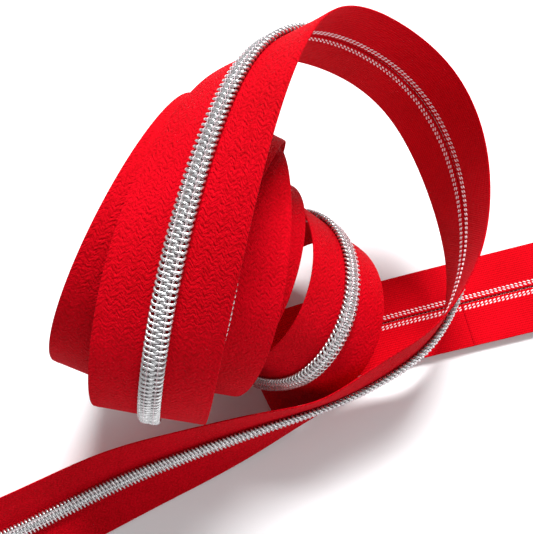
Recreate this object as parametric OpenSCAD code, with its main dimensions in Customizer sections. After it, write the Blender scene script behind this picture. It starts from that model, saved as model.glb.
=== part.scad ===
// A length of continuous coil zipper, sold by the metre with no slider on it.
// Two woven tapes carry two coils that are closed on each other. The chain is loosely rolled in
// five turns, then rises in one arch, stands on its edge at the arch's foot and runs out flat.
// The coils are on the outside of the roll. The route of the whole chain is one smooth curve.

/* [Chain] */
// Width of the closed chain, from one tape's outer edge to the other's
chain_w = 32; // [30:0.5:33]
// Thickness of a tape
tape_t = 0.6; // [0.5:0.05:0.7]
// Gap between the two tapes' inner edges
tape_gap = 0.6; // [0.4:0.1:0.8]
// Width of the two closed coils
coil_w = 6.2; // [5.8:0.1:6.6]
// Height of a coil above its tape
coil_h = 2.15; // [2:0.05:2.3]
// Diameter of the coil's filament, which is the wall of the coil's tube
filament_d = 0.65; // [0.55:0.05:0.7]

/* [Sewing] */
// Width of one row of sewing thread
thread_w = 0.6; // [0.4:0.1:0.7]
// Thickness of a row of sewing thread
thread_h = 0.15; // [0.1:0.05:0.15]
// Diameter of the filler cord inside a coil
cord_d = 0.7; // [0.6:0.1:0.7]

/* [Flexing places] */
// Length left out of the tapes and threads at a flexing place
tape_cut = 0.8; // [0.6:0.1:1]
// Length left out of the coils and cords at a flexing place
coil_cut = 3; // [2.5:0.5:4]

/* [Hidden] */
RIGHT = 1;
LEFT = -1;

// Clearance between a tape and its coil or its sewing
skin_gap = 0.1;
tape_top = tape_t / 2;
seam_back = -tape_t / 2 + thread_h + skin_gap;
coil_base = tape_top + skin_gap;
coil_inner = 0.15;
coil_outer = coil_w / 2;
// A tape is sewn up to its seam edge, beside the coil, and bends there
seam_edge = coil_outer + 0.1;
seam_middle = (tape_gap / 2 + seam_edge) / 2;
// Outline of a coil, as parts of its width and height
COIL_SHAPE = [[0, 0], [0.8, 0], [1, 0.4], [0.85, 0.85], [0.6, 1], [0, 1]];
// Distances of the two rows of thread from the middle of the chain
INNER_ROW = 1.4;
OUTER_ROW = 2.3;
CORD_SIDES = 4;
flat_z = coil_base + coil_h;

// Route of the chain. A row gives x, y and z of a point, then the heading and the lift of the
// chain's width in degrees, then how far each half bends to the back, in degrees.
// Where the flat start turns up on its edge into the smallest turn
LEAD_IN = [
    [108.5, -16, 3, -107, 0, 0],
    [79.5, -9.5, 3.9, -110, -12, 4],
    [67, -11.5, 10.7, -98, -33, -6],
    [71, -18.5, 20, -82, -42, 16]];
// From the outermost turn's left side over the arch to its foot, and along the floor
RUN_OUT = [
    [38.5, -11.5, 35, -45, -15, 1],
    [41.5, -22.5, 61, -38, -12, 1],
    [50.5, -23.5, 84, -31, -8, 0],
    [64.5, -13.5, 100, -24, -4, 0],
    [82, 2.5, 108.5, -19, 4, -2],
    [100.5, 20, 110.5, -19, 13, 3],
    [117.5, 35.5, 106, -22, 18, 6],
    [134, 43, 94, -25, 27, -2],
    [151, 40, 75.5, -36, 34, -1],
    [164, 28, 55.5, -43, 42, -3],
    [164.5, 5.5, 39.5, -42, 54, 7],
    [151.5, -21, 30, -46, 73, 2],
    [130.5, -36.5, 26.5, -66, 90, -2],
    [115, -39, 24.5, -82, 94, 3],
    [101.5, -38.5, 22.5, -150, 81, 9],
    [87.5, -37, 20.5, -166, 75, 0],
    [71, -33, 18.5, -210, 70, -2],
    [52.5, -29, 16, -231, 60, -8],
    [33, -25, 12.5, -242, 50, -11],
    [13, -21.5, 10, -249, 42, -12],
    [-7, -19.5, 8, -253, 37, -15],
    [-27, -18, 6.6, -257, 33, -16],
    [-47, -16, 5.3, -261, 28, -15],
    [-67, -14.5, 3.8, -264, 23, -14],
    [-87, -12.5, 2.3, -266, 17, -14],
    [-107, -11, 1.1, -269, 12, -13]];
// The turns of the roll from the smallest to the largest: x, y and z of the middle, the radius,
// the heading and the lift of the turn's axis in degrees, and its height over its width
TURNS = [
    [96, -4, 30, 27, -56, -50, 0.98],
    [79.5, 17.5, 44.5, 33, -50, -36, 0.92],
    [75.5, 17, 49.5, 44, -35, -28, 0.94],
    [67, 25, 57.5, 47, -53, -24, 0.94],
    [87, 11, 47, 52, -51, -16, 1.04]];
// The side of the roll that angle 0 is on
ROLL_FRONT = [0, -0.53, 0.85];
ROLL_START = -60;
ROLL_STOP = 1320;
ROLL_STEP = 30;
// Distance between the route's points where the chain is straight
SPACING = 20;
// The flat start: its cut end, its heading and how many of the route's points it takes
INNER_START = [223, -50.5, flat_z];
INNER_HEADING = 163;
INNER_POINTS = 7;
// The flat end: its first point, its heading and how many of the route's points it takes
OUTER_START = [-126.5, -9, tape_t / 2];
OUTER_HEADING = 175;
OUTER_POINTS = 7;
// Places along the route, in spans between its points, where the chain flexes or ends
INNER_FLEX = 3.5;
OUTER_FLEX = 84.25;
OPENING = 85.75;
END = 88;
INNER_TAIL = [0, INNER_FLEX];
MIDDLE = [INNER_FLEX, OUTER_FLEX];
OUTER_TAIL = [OUTER_FLEX, OPENING];
OPEN_END = [OPENING, END];
// Rings in each span between two of the route's points
RINGS_PER_SPAN = 2;

function unit(v) = v / norm(v);
function direction(heading, lift) =
    [cos(lift) * cos(heading), cos(lift) * sin(heading), sin(lift)];

// A point of the flat start or the flat end, and the chain's width there
function flat_control(start, heading, turn_side, steps) =
    [start + steps * SPACING * direction(heading, 0), direction(heading + turn_side, 0), 0];
function listed_control(row) = [[row[0], row[1], row[2]], direction(row[3], row[4]), row[5]];

// The roll's row of values at turn t, smooth between the listed turns and straight past them
function turn_row(k) =
    let(last = len(TURNS) - 1)
    k < 0 ? TURNS[0] + k * (TURNS[1] - TURNS[0])
    : k > last ? TURNS[last] + (k - last) * (TURNS[last] - TURNS[last - 1])
    : TURNS[k];
function turn_at(t) =
    let(k = floor(t), q = t - k,
        a = turn_row(k - 1), b = turn_row(k), c = turn_row(k + 1), d = turn_row(k + 2))
    0.5 * (2 * b + (c - a) * q + (2 * a - 5 * b + 4 * c - d) * pow(q, 2)
           + (3 * b - a - 3 * c + d) * pow(q, 3));
// The spline runs inside its points by this much on a circle
spline_pull = 3 / (2 + cos(ROLL_STEP));
function roll_control(angle) =
    let(row = turn_at(angle / 360),
        axis = direction(row[4], row[5]),
        front = unit(ROLL_FRONT - (axis * ROLL_FRONT) * axis),
        up = cross(front, axis),
        reach = spline_pull * row[3])
    [[row[0], row[1], row[2]] + reach * (cos(angle) * front + row[6] * sin(angle) * up), axis, 0];

controls = concat(
    [for (k = [0 : INNER_POINTS - 1]) flat_control(INNER_START, INNER_HEADING, 90, k - 1)],
    [for (row = LEAD_IN) listed_control(row)],
    [for (angle = [ROLL_START : ROLL_STEP : ROLL_STOP]) roll_control(angle)],
    [for (row = RUN_OUT) listed_control(row)],
    [for (k = [0 : OUTER_POINTS - 1]) flat_control(OUTER_START, OUTER_HEADING, -90, k)]);

// A uniform cubic spline through the route's points, and its direction
function spline(a, b, c, d, q) =
    (pow(1 - q, 3) * a + (3 * pow(q, 3) - 6 * pow(q, 2) + 4) * b
     + (-3 * pow(q, 3) + 3 * pow(q, 2) + 3 * q + 1) * c + pow(q, 3) * d) / 6;
function slope(a, b, c, d, q) =
    (-pow(1 - q, 2) * a + (3 * pow(q, 2) - 4 * q) * b
     + (-3 * pow(q, 2) + 2 * q + 1) * c + pow(q, 2) * d) / 2;

// The middle of the chain at place u, with its width's direction, its face and its fold
function station(u) =
    let(k = min(floor(u), len(controls) - 4), q = u - k,
        a = controls[k], b = controls[k + 1], c = controls[k + 2], d = controls[k + 3],
        along = unit(slope(a[0], b[0], c[0], d[0], q)),
        width = spline(a[1], b[1], c[1], d[1], q),
        across = unit(width - (width * along) * along))
    [spline(a[0], b[0], c[0], d[0], q), across, cross(across, along),
     spline(a[2], b[2], c[2], d[2], q)];

// A point of one half of the chain: p[0] from the middle outwards, p[1] from the tape to the face.
// The fold starts at the seam edge, so that the two coils stay closed on each other.
function place(s, side, p) =
    let(flat_part = min(p[0], seam_edge), bent_part = p[0] - flat_part,
        lean = p[0] > seam_edge ? s[3] : p[0] == seam_edge ? s[3] / 2 : 0)
    s[0] + side * flat_part * s[1]
         + bent_part * (side * cos(s[3]) * s[1] - sin(s[3]) * s[2])
         + p[1] * (cos(lean) * s[2] + side * sin(lean) * s[1]);

function rings(stretch, cut) =
    let(first = stretch[0] + cut / SPACING / 2, last = stretch[1] - cut / SPACING / 2,
        step = 1 / RINGS_PER_SPAN, margin = step / 4)
    concat([first],
           [for (u = [ceil((first + margin) / step) * step : step : last - margin]) u],
           [last]);

// Sweeps an outline along a stretch of the route, as a solid or as a tube with an inner outline.
// The turned diagonals make a coil's twisted faces lie along those of the tape below them.
module sweep(stretch, cut, side, outline, inner = [], turned = false) {
    stations = [for (u = rings(stretch, cut)) station(u)];
    walls = len(inner) > 0 ? [outline, inner] : [outline];
    n = len(outline);
    ring = n * len(walls);
    last = (len(stations) - 1) * ring;
    points = [for (s = stations, wall = walls, p = wall) place(s, side, p)];
    sides = [for (r = [0 : ring : last - ring], w = [0 : len(walls) - 1], j = [0 : n - 1])
        let(a = r + w * n + j, b = r + w * n + (j + 1) % n)
        w == 0 ? [a, b, b + ring, a + ring] : [a + ring, b + ring, b, a]];
    cut_ends = len(inner) > 0
        ? concat([for (j = [0 : n - 1]) let(k = (j + 1) % n) [k, j, j + n, k + n]],
                 [for (j = [0 : n - 1]) let(k = (j + 1) % n)
                     [last + j, last + k, last + k + n, last + j + n]])
        : [[for (j = [n - 1 : -1 : 0]) j], [for (j = [0 : n - 1]) last + j]];
    faces = concat([for (f = sides) each turned
        ? [[f[0], f[1], f[3]], [f[1], f[2], f[3]]]
        : [[f[0], f[1], f[2]], [f[0], f[2], f[3]]]], cut_ends);
    polyhedron(points, side > 0 ? [for (f = faces) reverse(f)] : faces);
}
function reverse(list) = [for (k = [len(list) - 1 : -1 : 0]) list[k]];

// One woven tape, thinner under its coil where the sewing sinks in
module tape(stretch, side) {
    middle = (seam_edge + chain_w / 2) / 2;
    color("crimson") sweep(stretch, tape_cut, side, [
        [tape_gap / 2, seam_back], [seam_middle, seam_back], [seam_edge, seam_back],
        [seam_edge, -tape_t / 2], [middle, -tape_t / 2], [chain_w / 2, -tape_t / 2],
        [chain_w / 2, tape_top], [middle, tape_top], [seam_edge, tape_top],
        [seam_middle, tape_top], [tape_gap / 2, tape_top]]);
}

// One coil of filament as a tube, with a wall as thick as the filament
function coil_outline(wall) = [for (p = COIL_SHAPE)
    [coil_inner + wall + p[0] * (coil_outer - coil_inner - 2 * wall),
     coil_base + wall + p[1] * (coil_h - 2 * wall)]];
module coil(stretch, side) {
    color("silver") sweep(stretch, coil_cut, side, coil_outline(0), coil_outline(filament_d), true);
}

// The cord that runs through a coil and keeps its sewing straight
module filler_cord(stretch, side) {
    middle = [(coil_inner + coil_outer) / 2, coil_base + coil_h / 2];
    color("white") sweep(stretch, coil_cut, side, [for (k = [0 : CORD_SIDES - 1])
        let(angle = k * 360 / CORD_SIDES) middle + cord_d / 2 * [cos(angle), sin(angle)]]);
}

// One row of the thread that sews a coil to its tape, on the tape's back
module thread(stretch, side, row) {
    color("mistyrose") sweep(stretch, tape_cut, side, [
        [row, -tape_t / 2], [row + thread_w / 2, seam_back - skin_gap],
        [row - thread_w / 2, seam_back - skin_gap]], turned = true);
}

tape(MIDDLE, LEFT);  // left_tape
tape(MIDDLE, RIGHT);  // right_tape
coil(MIDDLE, LEFT);  // left_coil
coil(MIDDLE, RIGHT);  // right_coil
filler_cord(MIDDLE, LEFT);  // left_filler_cord
filler_cord(MIDDLE, RIGHT);  // right_filler_cord
thread(MIDDLE, LEFT, INNER_ROW);  // left_inner_thread
thread(MIDDLE, LEFT, OUTER_ROW);  // left_outer_thread
thread(MIDDLE, RIGHT, INNER_ROW);  // right_inner_thread
thread(MIDDLE, RIGHT, OUTER_ROW);  // right_outer_thread

tape(INNER_TAIL, LEFT);  // inner_tail_left_tape
tape(INNER_TAIL, RIGHT);  // inner_tail_right_tape
coil(INNER_TAIL, LEFT);  // inner_tail_left_coil
coil(INNER_TAIL, RIGHT);  // inner_tail_right_coil
filler_cord(INNER_TAIL, LEFT);  // inner_tail_left_filler_cord
filler_cord(INNER_TAIL, RIGHT);  // inner_tail_right_filler_cord
thread(INNER_TAIL, LEFT, INNER_ROW);  // inner_tail_left_inner_thread
thread(INNER_TAIL, LEFT, OUTER_ROW);  // inner_tail_left_outer_thread
thread(INNER_TAIL, RIGHT, INNER_ROW);  // inner_tail_right_inner_thread
thread(INNER_TAIL, RIGHT, OUTER_ROW);  // inner_tail_right_outer_thread

tape(OUTER_TAIL, LEFT);  // outer_tail_left_tape
tape(OUTER_TAIL, RIGHT);  // outer_tail_right_tape
coil(OUTER_TAIL, LEFT);  // outer_tail_left_coil
coil(OUTER_TAIL, RIGHT);  // outer_tail_right_coil
filler_cord(OUTER_TAIL, LEFT);  // outer_tail_left_filler_cord
filler_cord(OUTER_TAIL, RIGHT);  // outer_tail_right_filler_cord
thread(OUTER_TAIL, LEFT, INNER_ROW);  // outer_tail_left_inner_thread
thread(OUTER_TAIL, LEFT, OUTER_ROW);  // outer_tail_left_outer_thread
thread(OUTER_TAIL, RIGHT, INNER_ROW);  // outer_tail_right_inner_thread
thread(OUTER_TAIL, RIGHT, OUTER_ROW);  // outer_tail_right_outer_thread

tape(OPEN_END, LEFT);  // left_end_tape
coil(OPEN_END, LEFT);  // left_end_coil
filler_cord(OPEN_END, LEFT);  // left_end_filler_cord
thread(OPEN_END, LEFT, INNER_ROW);  // left_end_inner_thread
thread(OPEN_END, LEFT, OUTER_ROW);  // left_end_outer_thread

tape(OPEN_END, RIGHT);  // right_end_tape
coil(OPEN_END, RIGHT);  // right_end_coil
filler_cord(OPEN_END, RIGHT);  // right_end_filler_cord
thread(OPEN_END, RIGHT, INNER_ROW);  // right_end_inner_thread
thread(OPEN_END, RIGHT, OUTER_ROW);  // right_end_outer_thread
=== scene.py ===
"""A loosely rolled length of red coil zipper with bright coils: its looks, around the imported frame.

The route of the chain is the one that the CAD model sweeps, with the same points. Everything
rides on that route: two woven tapes, two wound coils, two filler cords and the sewing.
"""
import math

import bpy
import numpy as np
from mathutils import Matrix, Vector


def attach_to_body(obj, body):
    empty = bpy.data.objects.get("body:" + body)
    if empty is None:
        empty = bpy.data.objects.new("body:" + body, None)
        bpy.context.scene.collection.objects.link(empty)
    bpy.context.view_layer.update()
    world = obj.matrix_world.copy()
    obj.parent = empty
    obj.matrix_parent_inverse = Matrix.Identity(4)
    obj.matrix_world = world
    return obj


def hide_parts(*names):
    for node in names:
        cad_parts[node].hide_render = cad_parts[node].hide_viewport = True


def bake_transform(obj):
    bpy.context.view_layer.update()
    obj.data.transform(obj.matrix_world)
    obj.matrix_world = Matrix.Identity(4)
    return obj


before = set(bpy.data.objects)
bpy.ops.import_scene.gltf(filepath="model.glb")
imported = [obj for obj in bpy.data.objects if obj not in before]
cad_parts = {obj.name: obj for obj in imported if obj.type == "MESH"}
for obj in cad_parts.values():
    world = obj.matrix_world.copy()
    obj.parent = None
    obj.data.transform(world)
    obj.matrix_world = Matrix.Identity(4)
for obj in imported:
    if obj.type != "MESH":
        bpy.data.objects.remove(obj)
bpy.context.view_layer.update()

MM = 0.001
scene = bpy.context.scene
rng = np.random.default_rng(5)

# ------------------------------------------------------------------ camera
# The eye is a hand's length above the floor and looks steeply down, rolled a little
EYE = (92.5, -73.5, 243.6)
LOOK_DOWN = math.radians(68.0)
ROLL = math.radians(-30.4)
LENS = 44.7


def place_camera():
    side = Vector((1, 0, 0))
    ahead = Vector((0, math.cos(LOOK_DOWN), -math.sin(LOOK_DOWN)))
    up = Vector((0, math.sin(LOOK_DOWN), math.cos(LOOK_DOWN)))
    right = math.cos(ROLL) * side + math.sin(ROLL) * up
    top = -math.sin(ROLL) * side + math.cos(ROLL) * up
    data = bpy.data.cameras.new("camera")
    data.lens = LENS
    data.sensor_width = 36
    data.clip_start = 0.01
    camera = bpy.data.objects.new("camera", data)
    camera.matrix_world = Matrix((
        (right.x, top.x, -ahead.x, EYE[0] * MM),
        (right.y, top.y, -ahead.y, EYE[1] * MM),
        (right.z, top.z, -ahead.z, EYE[2] * MM),
        (0, 0, 0, 1)))
    scene.collection.objects.link(camera)
    scene.camera = camera


place_camera()

# ------------------------------------------------------------------ route, in millimetres
# A row gives x, y and z, the heading and lift of the chain's width, and each half's fold
LEAD_IN = [
    [108.5, -16, 3, -107, 0, 0],
    [79.5, -9.5, 3.9, -110, -12, 4],
    [67, -11.5, 10.7, -98, -33, -6],
    [71, -18.5, 20, -82, -42, 16]]
RUN_OUT = [
    [38.5, -11.5, 35, -45, -15, 1],
    [41.5, -22.5, 61, -38, -12, 1],
    [50.5, -23.5, 84, -31, -8, 0],
    [64.5, -13.5, 100, -24, -4, 0],
    [82, 2.5, 108.5, -19, 4, -2],
    [100.5, 20, 110.5, -19, 13, 3],
    [117.5, 35.5, 106, -22, 18, 6],
    [134, 43, 94, -25, 27, -2],
    [151, 40, 75.5, -36, 34, -1],
    [164, 28, 55.5, -43, 42, -3],
    [164.5, 5.5, 39.5, -42, 54, 7],
    [151.5, -21, 30, -46, 73, 2],
    [130.5, -36.5, 26.5, -66, 90, -2],
    [115, -39, 24.5, -82, 94, 3],
    [101.5, -38.5, 22.5, -150, 81, 9],
    [87.5, -37, 20.5, -166, 75, 0],
    [71, -33, 18.5, -210, 70, -2],
    [52.5, -29, 16, -231, 60, -8],
    [33, -25, 12.5, -242, 50, -11],
    [13, -21.5, 10, -249, 42, -12],
    [-7, -19.5, 8, -253, 37, -15],
    [-27, -18, 6.6, -257, 33, -16],
    [-47, -16, 5.3, -261, 28, -15],
    [-67, -14.5, 3.8, -264, 23, -14],
    [-87, -12.5, 2.3, -266, 17, -14],
    [-107, -11, 1.1, -269, 12, -13]]
# The turns from the smallest to the largest: x, y and z of the middle, the radius, the heading
# and the lift of the turn's axis, and its height over its width
TURNS = [
    [96, -4, 30, 27, -56, -50, 0.98],
    [79.5, 17.5, 44.5, 33, -50, -36, 0.92],
    [75.5, 17, 49.5, 44, -35, -28, 0.94],
    [67, 25, 57.5, 47, -53, -24, 0.94],
    [87, 11, 47, 52, -51, -16, 1.04]]
INNER_START = (223, -50.5, 2.55)
INNER_HEADING = 163
INNER_POINTS = 7
OUTER_START = (-126.5, -9, 0.3)
OUTER_HEADING = 175
OUTER_POINTS = 7
ROLL_FRONT = np.array([0, -0.53, 0.85])
ROLL_ANGLES = range(-60, 1321, 30)
SPACING = 20

# The chain's make-up
TAPE_T = 0.6
PITCH = 1.5
COIL_BASE = 0.4
COIL_H = 2.15
COIL_OUTER = 3.1
FILAMENT_R = 0.36
HEAD_REACH = 0.6
CORD_R = 0.35
# A tape is sewn up to here, beside the coil, and bends there
SEAM_EDGE = 3.2


def direction(heading, lift):
    h, l = math.radians(heading), math.radians(lift)
    return np.array([math.cos(l) * math.cos(h), math.cos(l) * math.sin(h), math.sin(l)])


def unit(v):
    return v / np.linalg.norm(v, axis=-1, keepdims=True)


def flat_control(start, heading, turn_side, steps):
    point = np.array(start) + steps * SPACING * direction(heading, 0)
    return point, direction(heading + turn_side, 0), 0.0


def listed_control(row):
    return np.array(row[:3], float), direction(row[3], row[4]), float(row[5])


def turn_row(k):
    rows, last = np.array(TURNS, float), len(TURNS) - 1
    if k < 0:
        return rows[0] + k * (rows[1] - rows[0])
    if k > last:
        return rows[last] + (k - last) * (rows[last] - rows[last - 1])
    return rows[k]


def turn_at(t):
    k = math.floor(t)
    q = t - k
    a, b, c, d = (turn_row(k + step) for step in (-1, 0, 1, 2))
    return 0.5 * (2 * b + (c - a) * q + (2 * a - 5 * b + 4 * c - d) * q**2
                  + (3 * b - a - 3 * c + d) * q**3)


def roll_control(angle):
    row = turn_at(angle / 360)
    axis = direction(row[4], row[5])
    front = unit(ROLL_FRONT - (axis @ ROLL_FRONT) * axis)
    up = np.cross(front, axis)
    reach = row[3] * 3 / (2 + math.cos(math.radians(30)))
    a = math.radians(angle)
    point = row[:3] + reach * (math.cos(a) * front + row[6] * math.sin(a) * up)
    return point, axis, 0.0


CONTROLS = (
    [flat_control(INNER_START, INNER_HEADING, 90, k - 1) for k in range(INNER_POINTS)]
    + [listed_control(row) for row in LEAD_IN]
    + [roll_control(angle) for angle in ROLL_ANGLES]
    + [listed_control(row) for row in RUN_OUT]
    + [flat_control(OUTER_START, OUTER_HEADING, -90, k) for k in range(OUTER_POINTS)])
POINTS, WIDTHS, FOLDS = (np.array([c[i] for c in CONTROLS]) for i in range(3))
END = len(CONTROLS) - 3


def spline(values, u, derivative=False):
    k = np.clip(np.floor(u).astype(int), 0, len(values) - 4)
    q = u - k
    if derivative:
        weights = [-(1 - q)**2, 3 * q**2 - 4 * q, -3 * q**2 + 2 * q + 1, q**2]
        scale = 0.5
    else:
        weights = [(1 - q)**3, 3 * q**3 - 6 * q**2 + 4, -3 * q**3 + 3 * q**2 + 3 * q + 1, q**3]
        scale = 1 / 6
    shape = (-1,) + (1,) * (values.ndim - 1)
    return scale * sum(w.reshape(shape) * values[k + i] for i, w in enumerate(weights))


# Places along the route against the chain's own length
TABLE_U = np.linspace(0, END, END * 40 + 1)
TABLE_STEPS = np.linalg.norm(np.diff(spline(POINTS, TABLE_U), axis=0), axis=1)
TABLE_S = np.concatenate([[0], np.cumsum(TABLE_STEPS)])


def length_at(u):
    return float(np.interp(u, TABLE_U, TABLE_S))


class Stations:
    """The chain's middle, width and face at the lengths s, one row each."""

    def __init__(self, s):
        u = np.interp(s, TABLE_S, TABLE_U)
        self.s = s
        self.point = spline(POINTS, u)
        self.along = unit(spline(POINTS, u, True))
        width = spline(WIDTHS, u)
        self.width = unit(width - np.sum(width * self.along, 1)[:, None] * self.along)
        self.face = np.cross(self.width, self.along)
        self.fold = np.radians(spline(FOLDS, u))

    def place(self, side, a, o):
        """Points a millimetres out from the middle on one side and o above the tape's middle."""
        a, o = (np.broadcast_to(v, len(self.s))[:, None] for v in (a, o))
        flat = np.minimum(a, SEAM_EDGE)
        fold = self.fold[:, None]
        lean = fold * np.clip((a - SEAM_EDGE) / 0.6 + 0.5, 0, 1)
        bent = side * np.cos(fold) * self.width - np.sin(fold) * self.face
        up = np.cos(lean) * self.face + side * np.sin(lean) * self.width
        return self.point + side * flat * self.width + (a - flat) * bent + o * up


# ------------------------------------------------------------------ materials
def new_material(name):
    material = bpy.data.materials.new(name)
    material.use_nodes = True
    tree = material.node_tree
    shader = tree.nodes["Principled BSDF"]
    return material, tree, shader


def node(tree, kind, inputs=None, **settings):
    made = tree.nodes.new(kind)
    for key, value in settings.items():
        setattr(made, key, value)
    for key, value in (inputs or {}).items():
        if isinstance(value, bpy.types.NodeSocket):
            tree.links.new(value, made.inputs[key])
        else:
            made.inputs[key].default_value = value
    return made


def math_node(tree, operation, a, b=0.0):
    return node(tree, "ShaderNodeMath", {0: a, 1: b}, operation=operation).outputs[0]


def wave(tree, value, period):
    """A sine of the value, from -1 to 1."""
    turns = math_node(tree, "MULTIPLY", value, 2 * math.pi / period)
    return math_node(tree, "SINE", turns)


def woven_material(name, dark, bright, is_face):
    """Red woven tape, with painted shade in the low parts of its weave. Its UVs are millimetres
    across and along the tape.
    """
    material, tree, shader = new_material(name)
    uv = node(tree, "ShaderNodeUVMap", uv_map="cloth")
    parts = node(tree, "ShaderNodeSeparateXYZ", {0: uv.outputs[0]})
    across, along = parts.outputs[0], parts.outputs[1]
    if is_face:
        # the rows of the herringbone step forwards and back across the tape, in small knuckles
        folded = node(tree, "ShaderNodeMath", {0: across, 1: 1.8}, operation="PINGPONG").outputs[0]
        slanted = math_node(tree, "ADD", along, math_node(tree, "MULTIPLY", folded, 0.9))
        spot = node(tree, "ShaderNodeCombineXYZ", {0: math_node(tree, "MULTIPLY", across, 1.5),
                                                   1: math_node(tree, "MULTIPLY", slanted, 1.8)})
        knuckle = node(tree, "ShaderNodeTexVoronoi",
                       {"Vector": spot.outputs[0], "Scale": 1.0, "Randomness": 0.85},
                       feature="SMOOTH_F1")
        rows = math_node(tree, "MULTIPLY", wave(tree, slanted, 1.5), 0.22)
        cells = math_node(tree, "MULTIPLY", knuckle.outputs["Distance"], -2.4)
        relief = math_node(tree, "ADD", rows, math_node(tree, "ADD", cells, 0.75))
        depth = 0.00015
    else:
        ribs = wave(tree, across, 0.8)
        picks = wave(tree, along, 0.62)
        relief = math_node(tree, "ADD", math_node(tree, "MULTIPLY", ribs, 0.6),
                           math_node(tree, "MULTIPLY", picks, 0.35))
        depth = 0.00008
    place = node(tree, "ShaderNodeTexCoord").outputs["Object"]
    fuzz = node(tree, "ShaderNodeTexNoise", {"Vector": place, "Scale": 1700.0, "Detail": 3.0})
    cloud = node(tree, "ShaderNodeTexNoise", {"Vector": place, "Scale": 45.0, "Detail": 2.0})
    height = math_node(tree, "ADD", relief, math_node(tree, "MULTIPLY", fuzz.outputs[0], 2.2))
    bump = node(tree, "ShaderNodeBump", {"Height": height, "Distance": depth, "Strength": 0.9})
    tree.links.new(bump.outputs[0], shader.inputs["Normal"])
    # painted shade: the colour is darker where the weave relief is low, in its hollows, and its tone
    # also varies at random with the fuzz and cloud noise
    shade = math_node(tree, "ADD", math_node(tree, "MULTIPLY", relief, 0.16),
                      math_node(tree, "MULTIPLY", fuzz.outputs[0], 0.55))
    shade = math_node(tree, "ADD", shade, math_node(tree, "MULTIPLY", cloud.outputs[0], 0.35))
    ramp = node(tree, "ShaderNodeValToRGB", {0: shade})
    ramp.color_ramp.elements[0].position = 0.15
    ramp.color_ramp.elements[0].color = (*dark, 1)
    ramp.color_ramp.elements[1].position = 0.8
    ramp.color_ramp.elements[1].color = (*bright, 1)
    tree.links.new(ramp.outputs[0], shader.inputs["Base Color"])
    shader.inputs["Roughness"].default_value = 0.8
    shader.inputs["Specular IOR Level"].default_value = 0.05
    shader.inputs["Sheen Weight"].default_value = 0.04
    shader.inputs["Sheen Roughness"].default_value = 0.4
    shader.inputs["Sheen Tint"].default_value = (1.0, 0.1, 0.2, 1)
    return material


def coil_material():
    """Metallised filament: bright, with faint scuffs and a slight unevenness of the foil."""
    material, tree, shader = new_material("bright_filament")
    place = node(tree, "ShaderNodeTexCoord").outputs["Object"]
    scuffs = node(tree, "ShaderNodeTexNoise", {"Vector": place, "Scale": 900.0, "Detail": 3.0})
    ramp = node(tree, "ShaderNodeValToRGB", {0: scuffs.outputs[0]})
    ramp.color_ramp.elements[0].position = 0.3
    ramp.color_ramp.elements[0].color = (0.5, 0.49, 0.5, 1)
    ramp.color_ramp.elements[1].position = 0.65
    ramp.color_ramp.elements[1].color = (0.86, 0.86, 0.87, 1)
    tree.links.new(ramp.outputs[0], shader.inputs["Base Color"])
    rough = node(tree, "ShaderNodeMapRange",
                 {0: scuffs.outputs[0], 1: 0.3, 2: 0.7, 3: 0.34, 4: 0.2})
    tree.links.new(rough.outputs[0], shader.inputs["Roughness"])
    bump = node(tree, "ShaderNodeBump",
                {"Height": scuffs.outputs[0], "Distance": 0.00004, "Strength": 0.5})
    tree.links.new(bump.outputs[0], shader.inputs["Normal"])
    shader.inputs["Metallic"].default_value = 0.85
    return material


def thread_material(name, dark, bright):
    """Spun thread with fine diagonal plies."""
    material, tree, shader = new_material(name)
    place = node(tree, "ShaderNodeTexCoord").outputs["Object"]
    plies = node(tree, "ShaderNodeTexNoise", {"Vector": place, "Scale": 2600.0, "Detail": 2.0})
    ramp = node(tree, "ShaderNodeValToRGB", {0: plies.outputs[0]})
    ramp.color_ramp.elements[0].position = 0.3
    ramp.color_ramp.elements[0].color = (*dark, 1)
    ramp.color_ramp.elements[1].position = 0.6
    ramp.color_ramp.elements[1].color = (*bright, 1)
    tree.links.new(ramp.outputs[0], shader.inputs["Base Color"])
    bump = node(tree, "ShaderNodeBump",
                {"Height": plies.outputs[0], "Distance": 0.00008, "Strength": 0.6})
    tree.links.new(bump.outputs[0], shader.inputs["Normal"])
    shader.inputs["Roughness"].default_value = 0.55
    shader.inputs["Sheen Weight"].default_value = 0.2
    return material


TAPE_FACE = woven_material("tape_face", (0.36, 0.0, 0.002), (0.8, 0.0, 0.012), True)
TAPE_BACK = woven_material("tape_back", (0.4, 0.0, 0.002), (0.78, 0.0, 0.01), False)
FILAMENT = coil_material()
CORD = thread_material("braided_cord", (0.55, 0.53, 0.52), (0.85, 0.84, 0.83))
THREAD = thread_material("sewing_thread", (0.8, 0.5, 0.56), (0.98, 0.86, 0.9))


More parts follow.
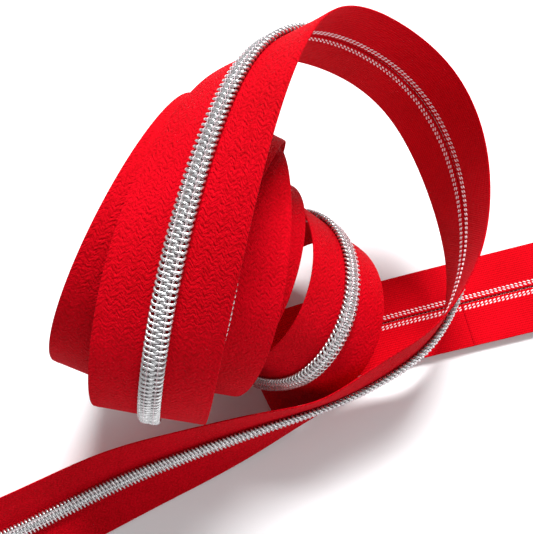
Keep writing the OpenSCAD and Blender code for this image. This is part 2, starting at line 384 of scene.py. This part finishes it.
# ------------------------------------------------------------------ mesh building
def make_mesh(name, points, quads, materials, uv=None, faces_of=None, ends=()):
    """A mesh from points in millimetres and an array of quads, with any closing polygons."""
    loops = np.concatenate([quads.ravel()] + [np.array(e) for e in ends]).astype(np.int32)
    counts = [4] * len(quads) + [len(e) for e in ends]
    starts = np.concatenate([[0], np.cumsum(counts)[:-1]]).astype(np.int32)
    mesh = bpy.data.meshes.new(name)
    mesh.vertices.add(len(points))
    mesh.vertices.foreach_set("co", (np.asarray(points) * MM).astype(np.float32).ravel())
    mesh.loops.add(len(loops))
    mesh.loops.foreach_set("vertex_index", loops)
    mesh.polygons.add(len(counts))
    mesh.polygons.foreach_set("loop_start", starts)
    for material in materials:
        mesh.materials.append(material)
    if faces_of is not None:
        index = np.concatenate([faces_of, np.zeros(len(ends))]).astype(np.int32)
        mesh.polygons.foreach_set("material_index", index)
    if uv is not None:
        layer = mesh.uv_layers.new(name="cloth")
        layer.data.foreach_set("uv", uv[loops].astype(np.float32).ravel())
    # the cut ends are flat, so that they leave no shade on the sides
    mesh.polygons.foreach_set("use_smooth", [True] * len(quads) + [False] * len(ends))
    mesh.update(calc_edges=True)
    mesh.validate()
    piece = bpy.data.objects.new(name, mesh)
    scene.collection.objects.link(piece)
    return piece


def grid_quads(rings, around):
    """Quads between successive closed rings of points."""
    r = np.arange(rings - 1)[:, None] * around
    j = np.arange(around)[None, :]
    k = (j + 1) % around
    return np.stack([r + j, r + k, r + around + k, r + around + j], -1).reshape(-1, 4)


def tube(path, across, radius, sides):
    """Rings of points round a path. across is a direction off the path at each point."""
    along = unit(np.gradient(path, axis=0))
    first = unit(across - np.sum(across * along, 1)[:, None] * along)
    second = np.cross(along, first)
    angle = np.arange(sides) * 2 * math.pi / sides
    radius = np.broadcast_to(radius, len(path))[:, None, None]
    ring = (np.cos(angle)[None, :, None] * first[:, None]
            + np.sin(angle)[None, :, None] * second[:, None])
    return path[:, None] + radius * ring


def steps_between(start, stop, step):
    count = max(2, int(round((stop - start) / step)) + 1)
    return np.linspace(start, stop, count)


# ------------------------------------------------------------------ the pieces
# Across the tape: the face from the middle out, the rounded selvedge, and back again
TAPE_COLUMNS = [0.3, 1.1, 2.0, 3.2, 4.3, 6.0, 8.0, 10.0, 12.0, 13.6, 14.6, 15.2, 15.6, 15.86]
SELVEDGE = [(15.98, 0.16), (16.0, 0.0), (15.98, -0.16)]
ROW_STEP = PITCH / 2


def tape_outline():
    half = TAPE_T / 2
    face = [(a, half - 0.05 * (a > 15)) for a in TAPE_COLUMNS]
    back = [(a, -half + 0.1 * (0.9 < a < 2.7) + 0.05 * (a > 15)) for a in reversed(TAPE_COLUMNS)]
    return face + SELVEDGE + back + [(0.22, -0.12), (0.22, 0.12)]


def tape(name, side, first, last):
    """A woven tape with two scalloped edges and a slight swell near the outer one."""
    st = Stations(steps_between(first, last, ROW_STEP))
    outline = tape_outline()
    rows, around = len(st.s), len(outline)
    points = np.zeros((rows, around, 3))
    uv = np.zeros((rows, around, 2))
    tooth = 0.07 * np.cos(2 * math.pi * st.s / PITCH)
    for j, (a, o) in enumerate(outline):
        edge = tooth * (a > 15.5) + 0.06 * np.cos(2 * math.pi * st.s / PITCH) * (a < 0.5)
        swell = 0.05 * np.cos(2 * math.pi * st.s / PITCH) * (14.0 < a < 15.5)
        points[:, j] = st.place(side, a - np.abs(edge) * np.sign(a - 8), o + swell * np.sign(o))
        uv[:, j, 0] = a
        uv[:, j, 1] = st.s
    quads = grid_quads(rows, around)
    if side > 0:
        quads = quads[:, ::-1]
    is_back = np.tile(np.array([1 if o < 0 else 0 for a, o in outline]), rows - 1)
    n = rows * around
    caps = [list(range(around)), list(range(n - 1, n - around - 1, -1))]
    if side < 0:
        caps = [cap[::-1] for cap in caps]
    return make_mesh(name, points.reshape(-1, 3), quads, [TAPE_FACE, TAPE_BACK],
                     uv.reshape(-1, 2), is_back, caps)


# One turn of filament: across from the middle, height, and its part of the pitch
TOP = COIL_BASE + COIL_H - FILAMENT_R
LOW = COIL_BASE + FILAMENT_R
MID = (TOP + LOW) / 2
RIM = COIL_OUTER - FILAMENT_R
TURN = [
    (-HEAD_REACH, MID, 0.00), (-HEAD_REACH + 0.1, TOP - 0.26, 0.00), (-0.1, TOP, 0.00),
    (0.7, TOP + 0.02, 0.01), (1.5, TOP, 0.03), (2.15, TOP - 0.1, 0.08),
    (RIM - 0.12, TOP - 0.42, 0.2), (RIM, MID, 0.4), (RIM - 0.1, LOW + 0.3, 0.6),
    (2.2, LOW + 0.02, 0.74), (1.45, LOW, 0.86), (0.7, LOW, 0.94), (-0.1, LOW, 0.99),
    (-HEAD_REACH + 0.1, LOW + 0.26, 1.00)]
FILAMENT_SIDES = 8


def coil(name, side, first, last):
    """A coil wound from one filament. The two coils' heads pass between each other."""
    offset = 0.0 if side > 0 else 0.5
    start = math.ceil(first / PITCH - offset - 1e-6)
    stop = math.floor(last / PITCH - offset - 1 + 1e-6)
    turn = np.array(TURN)
    count = stop - start + 1
    s = ((start + np.arange(count))[:, None] + offset + turn[None, :, 2]) * PITCH
    a = np.tile(turn[:, 0], count)
    o = np.tile(turn[:, 1], count)
    st = Stations(s.ravel())
    path = st.place(side, a, o)
    # the head of each turn is pressed a little wider, as real coupling heads are
    thick = FILAMENT_R * np.where(np.tile(turn[:, 0], count) < -0.3, 1.06, 1.0)
    rings = tube(path, st.along, thick, FILAMENT_SIDES)
    n = len(rings) * FILAMENT_SIDES
    caps = [list(range(FILAMENT_SIDES))[::-1], list(range(n - FILAMENT_SIDES, n))]
    return make_mesh(name, rings.reshape(-1, 3), grid_quads(len(rings), FILAMENT_SIDES),
                     [FILAMENT], ends=caps)


CORD_SIDES = 10


def filler_cord(name, side, first, last):
    """The braided cord inside a coil."""
    st = Stations(steps_between(first, last, 0.75))
    path = st.place(side, 1.3, MID)
    radius = CORD_R * (0.94 + 0.06 * np.cos(2 * math.pi * st.s / PITCH))
    rings = tube(path, st.face, radius, CORD_SIDES)
    n = len(rings) * CORD_SIDES
    caps = [list(range(CORD_SIDES))[::-1], list(range(n - CORD_SIDES, n))]
    return make_mesh(name, rings.reshape(-1, 3), grid_quads(len(rings), CORD_SIDES),
                     [CORD], ends=caps)


# A stitch on the back: its parts along, and how far it stands from the tape there
STITCH = [
    (-0.34, -0.3), (-0.3, 0.35), (-0.16, 0.85), (0.0, 1.0), (0.16, 0.85), (0.3, 0.35),
    (0.34, -0.3)]
STITCH_SIDES = 8
STITCH_R = 0.26
STITCH_SLANT = 0.24


# The sewing's loops over the face of a coil: they dip between its legs
OVER_R = 0.08


def sewing_over(side, row, first, last):
    """Rings of the thread that lies along the top of a coil and holds it down."""
    offset = 0.0 if side > 0 else 0.5
    st = Stations(steps_between(first + 0.5, last - 0.5, PITCH / 8))
    phase = 2 * math.pi * (st.s / PITCH - offset - 0.03)
    path = st.place(side, row - 0.1 + 0.06 * np.sin(phase),
                    TOP + FILAMENT_R + 0.01 - 0.24 * (1 - np.cos(phase)))
    return tube(path, st.face, OVER_R, 6)


def stitches(name, side, row, first, last):
    """A row of short slanted stitches, one for each turn of the coil."""
    count = int((last - first) / PITCH)
    centres = first + (np.arange(count) + 0.5) * PITCH
    ends = []
    shape = np.array(STITCH)
    s = (centres[:, None] + shape[None, :, 0] * PITCH).ravel()
    st = Stations(s)
    slant = np.tile(shape[:, 0] / 0.34 * STITCH_SLANT, count)
    lift = np.tile(shape[:, 1], count)
    jitter = np.repeat(rng.uniform(-0.04, 0.04, count), len(shape))
    path = st.place(side, row + slant + jitter, -TAPE_T / 2 + 0.08 - 0.1 * lift)
    radius = STITCH_R * (0.45 + 0.55 * np.clip(lift, 0, 1))
    along = unit(st.along + side * 0.3 * st.width)
    angle = np.arange(STITCH_SIDES) * 2 * math.pi / STITCH_SIDES
    first_way = st.face
    second_way = np.cross(along, first_way)
    ring = path[:, None] + radius[:, None, None] * (
        0.6 * np.cos(angle)[None, :, None] * first_way[:, None]
        + np.sin(angle)[None, :, None] * second_way[:, None])
    one = grid_quads(len(shape), STITCH_SIDES)
    block = len(shape) * STITCH_SIDES
    quads = (np.arange(count)[:, None, None] * block + one[None]).reshape(-1, 4)
    for k in range(count):
        low, high = k * block, (k + 1) * block
        ends.append(list(range(low + STITCH_SIDES - 1, low - 1, -1)))
        ends.append(list(range(high - STITCH_SIDES, high)))
    points = ring.reshape(-1, 3)
    if row < 2:
        over = sewing_over(side, row, first, last)
        base, size = len(points), len(over) * 6
        quads = np.concatenate([quads, base + grid_quads(len(over), 6)])
        ends.append(list(range(base + 5, base - 1, -1)))
        ends.append(list(range(base + size - 6, base + size)))
        points = np.concatenate([points, over.reshape(-1, 3)])
    return make_mesh(name, points, quads, [THREAD], ends=ends)


# ------------------------------------------------------------------ stretches and bodies
# Name, first and last place on the route, bodies on its two sides and where they blend
SIDES = {"left": -1, "right": 1}
ROWS = {"inner": 1.4, "outer": 2.3}
MIDDLE_SPLIT = 52
STRETCHES = [
    ("inner_tail", 0, 4.0, ("inner_tail", "root", 2.95, 3.62)),
    ("roll", 4.0, MIDDLE_SPLIT, None),
    ("run", MIDDLE_SPLIT, 83.6, None),
    ("outer_tail", 83.6, 85.3, ("root", "outer_tail", 84.13, 84.8)),
    ("open_end", 85.3, END, ("outer_tail", "{side}_end", 85.6, 85.9))]


def cad_node(stretch, side, kind):
    if stretch in ("roll", "run"):
        return f"{side}_{kind}"
    if stretch == "open_end":
        return f"{side}_end_{kind}"
    return f"{stretch}_{side}_{kind}"


def attach(piece, stretch, side, kind, blend):
    if blend is None:
        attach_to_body(piece, "root")
    else:
        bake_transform(piece)
    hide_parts(cad_node(stretch, side, kind))


def build_stretch(stretch, first_u, last_u, blend):
    first, last = length_at(first_u), length_at(last_u)
    for side, sign in SIDES.items():
        base = f"{side}_{stretch}"
        cloth = tape(f"{base}_tape", sign, first, last)
        wound = coil(f"{base}_coil", sign, first, last)
        cord = filler_cord(f"{base}_filler_cord", sign, first, last)
        sewn = [(kind, stitches(f"{base}_{kind}_stitches", sign, row, first, last))
                for kind, row in ROWS.items()]
        attach(cloth, stretch, side, "tape", blend)
        attach(wound, stretch, side, "coil", blend)
        attach(cord, stretch, side, "filler_cord", blend)
        for kind, piece in sewn:
            attach(piece, stretch, side, f"{kind}_thread", blend)


# ------------------------------------------------------------------ floor and light
FLOOR_Z = -0.0002


def build_floor():
    mesh = bpy.data.meshes.new("floor")
    reach = 3.0
    corners = [(-reach, -reach, 0), (reach, -reach, 0), (reach, reach, 0), (-reach, reach, 0)]
    mesh.from_pydata(corners, [], [(0, 1, 2, 3)])
    material, tree, shader = new_material("pale_floor")
    place = node(tree, "ShaderNodeTexCoord").outputs["Object"]
    grain = node(tree, "ShaderNodeTexNoise", {"Vector": place, "Scale": 30.0, "Detail": 4.0})
    ramp = node(tree, "ShaderNodeValToRGB", {0: grain.outputs[0]})
    ramp.color_ramp.elements[0].color = (0.93, 0.93, 0.95, 1)
    ramp.color_ramp.elements[1].color = (0.96, 0.96, 0.97, 1)
    tree.links.new(ramp.outputs[0], shader.inputs["Base Color"])
    shader.inputs["Roughness"].default_value = 0.6
    mesh.materials.append(material)
    floor = bpy.data.objects.new("floor", mesh)
    # a little low, so that it does not share a plane with the tape that lies on it
    floor.location.z = FLOOR_Z
    scene.collection.objects.link(floor)


def area_light(name, place, target, size, power, color=(1, 1, 1)):
    data = bpy.data.lights.new(name, "AREA")
    data.size = size
    data.energy = power
    data.color = color
    light = bpy.data.objects.new(name, data)
    light.location = place
    light.rotation_euler = (Vector(target) - Vector(place)).to_track_quat("-Z", "Y").to_euler()
    scene.collection.objects.link(light)


def build_light():
    world = bpy.data.worlds.new("studio")
    world.use_nodes = True
    world.node_tree.nodes["Background"].inputs[0].default_value = (1.0, 1.0, 1.0, 1)
    world.node_tree.nodes["Background"].inputs[1].default_value = 0.36
    scene.world = world
    middle = (0.08, 0.0, 0.04)
    area_light("window", (0.7, 0.5, 0.95), middle, 0.4, 24.0)
    area_light("fill", (0.1, -0.9, 0.8), middle, 0.8, 3.0)
    scene.view_settings.view_transform = "Standard"


for row in STRETCHES:
    build_stretch(*row)
build_floor()
build_light()
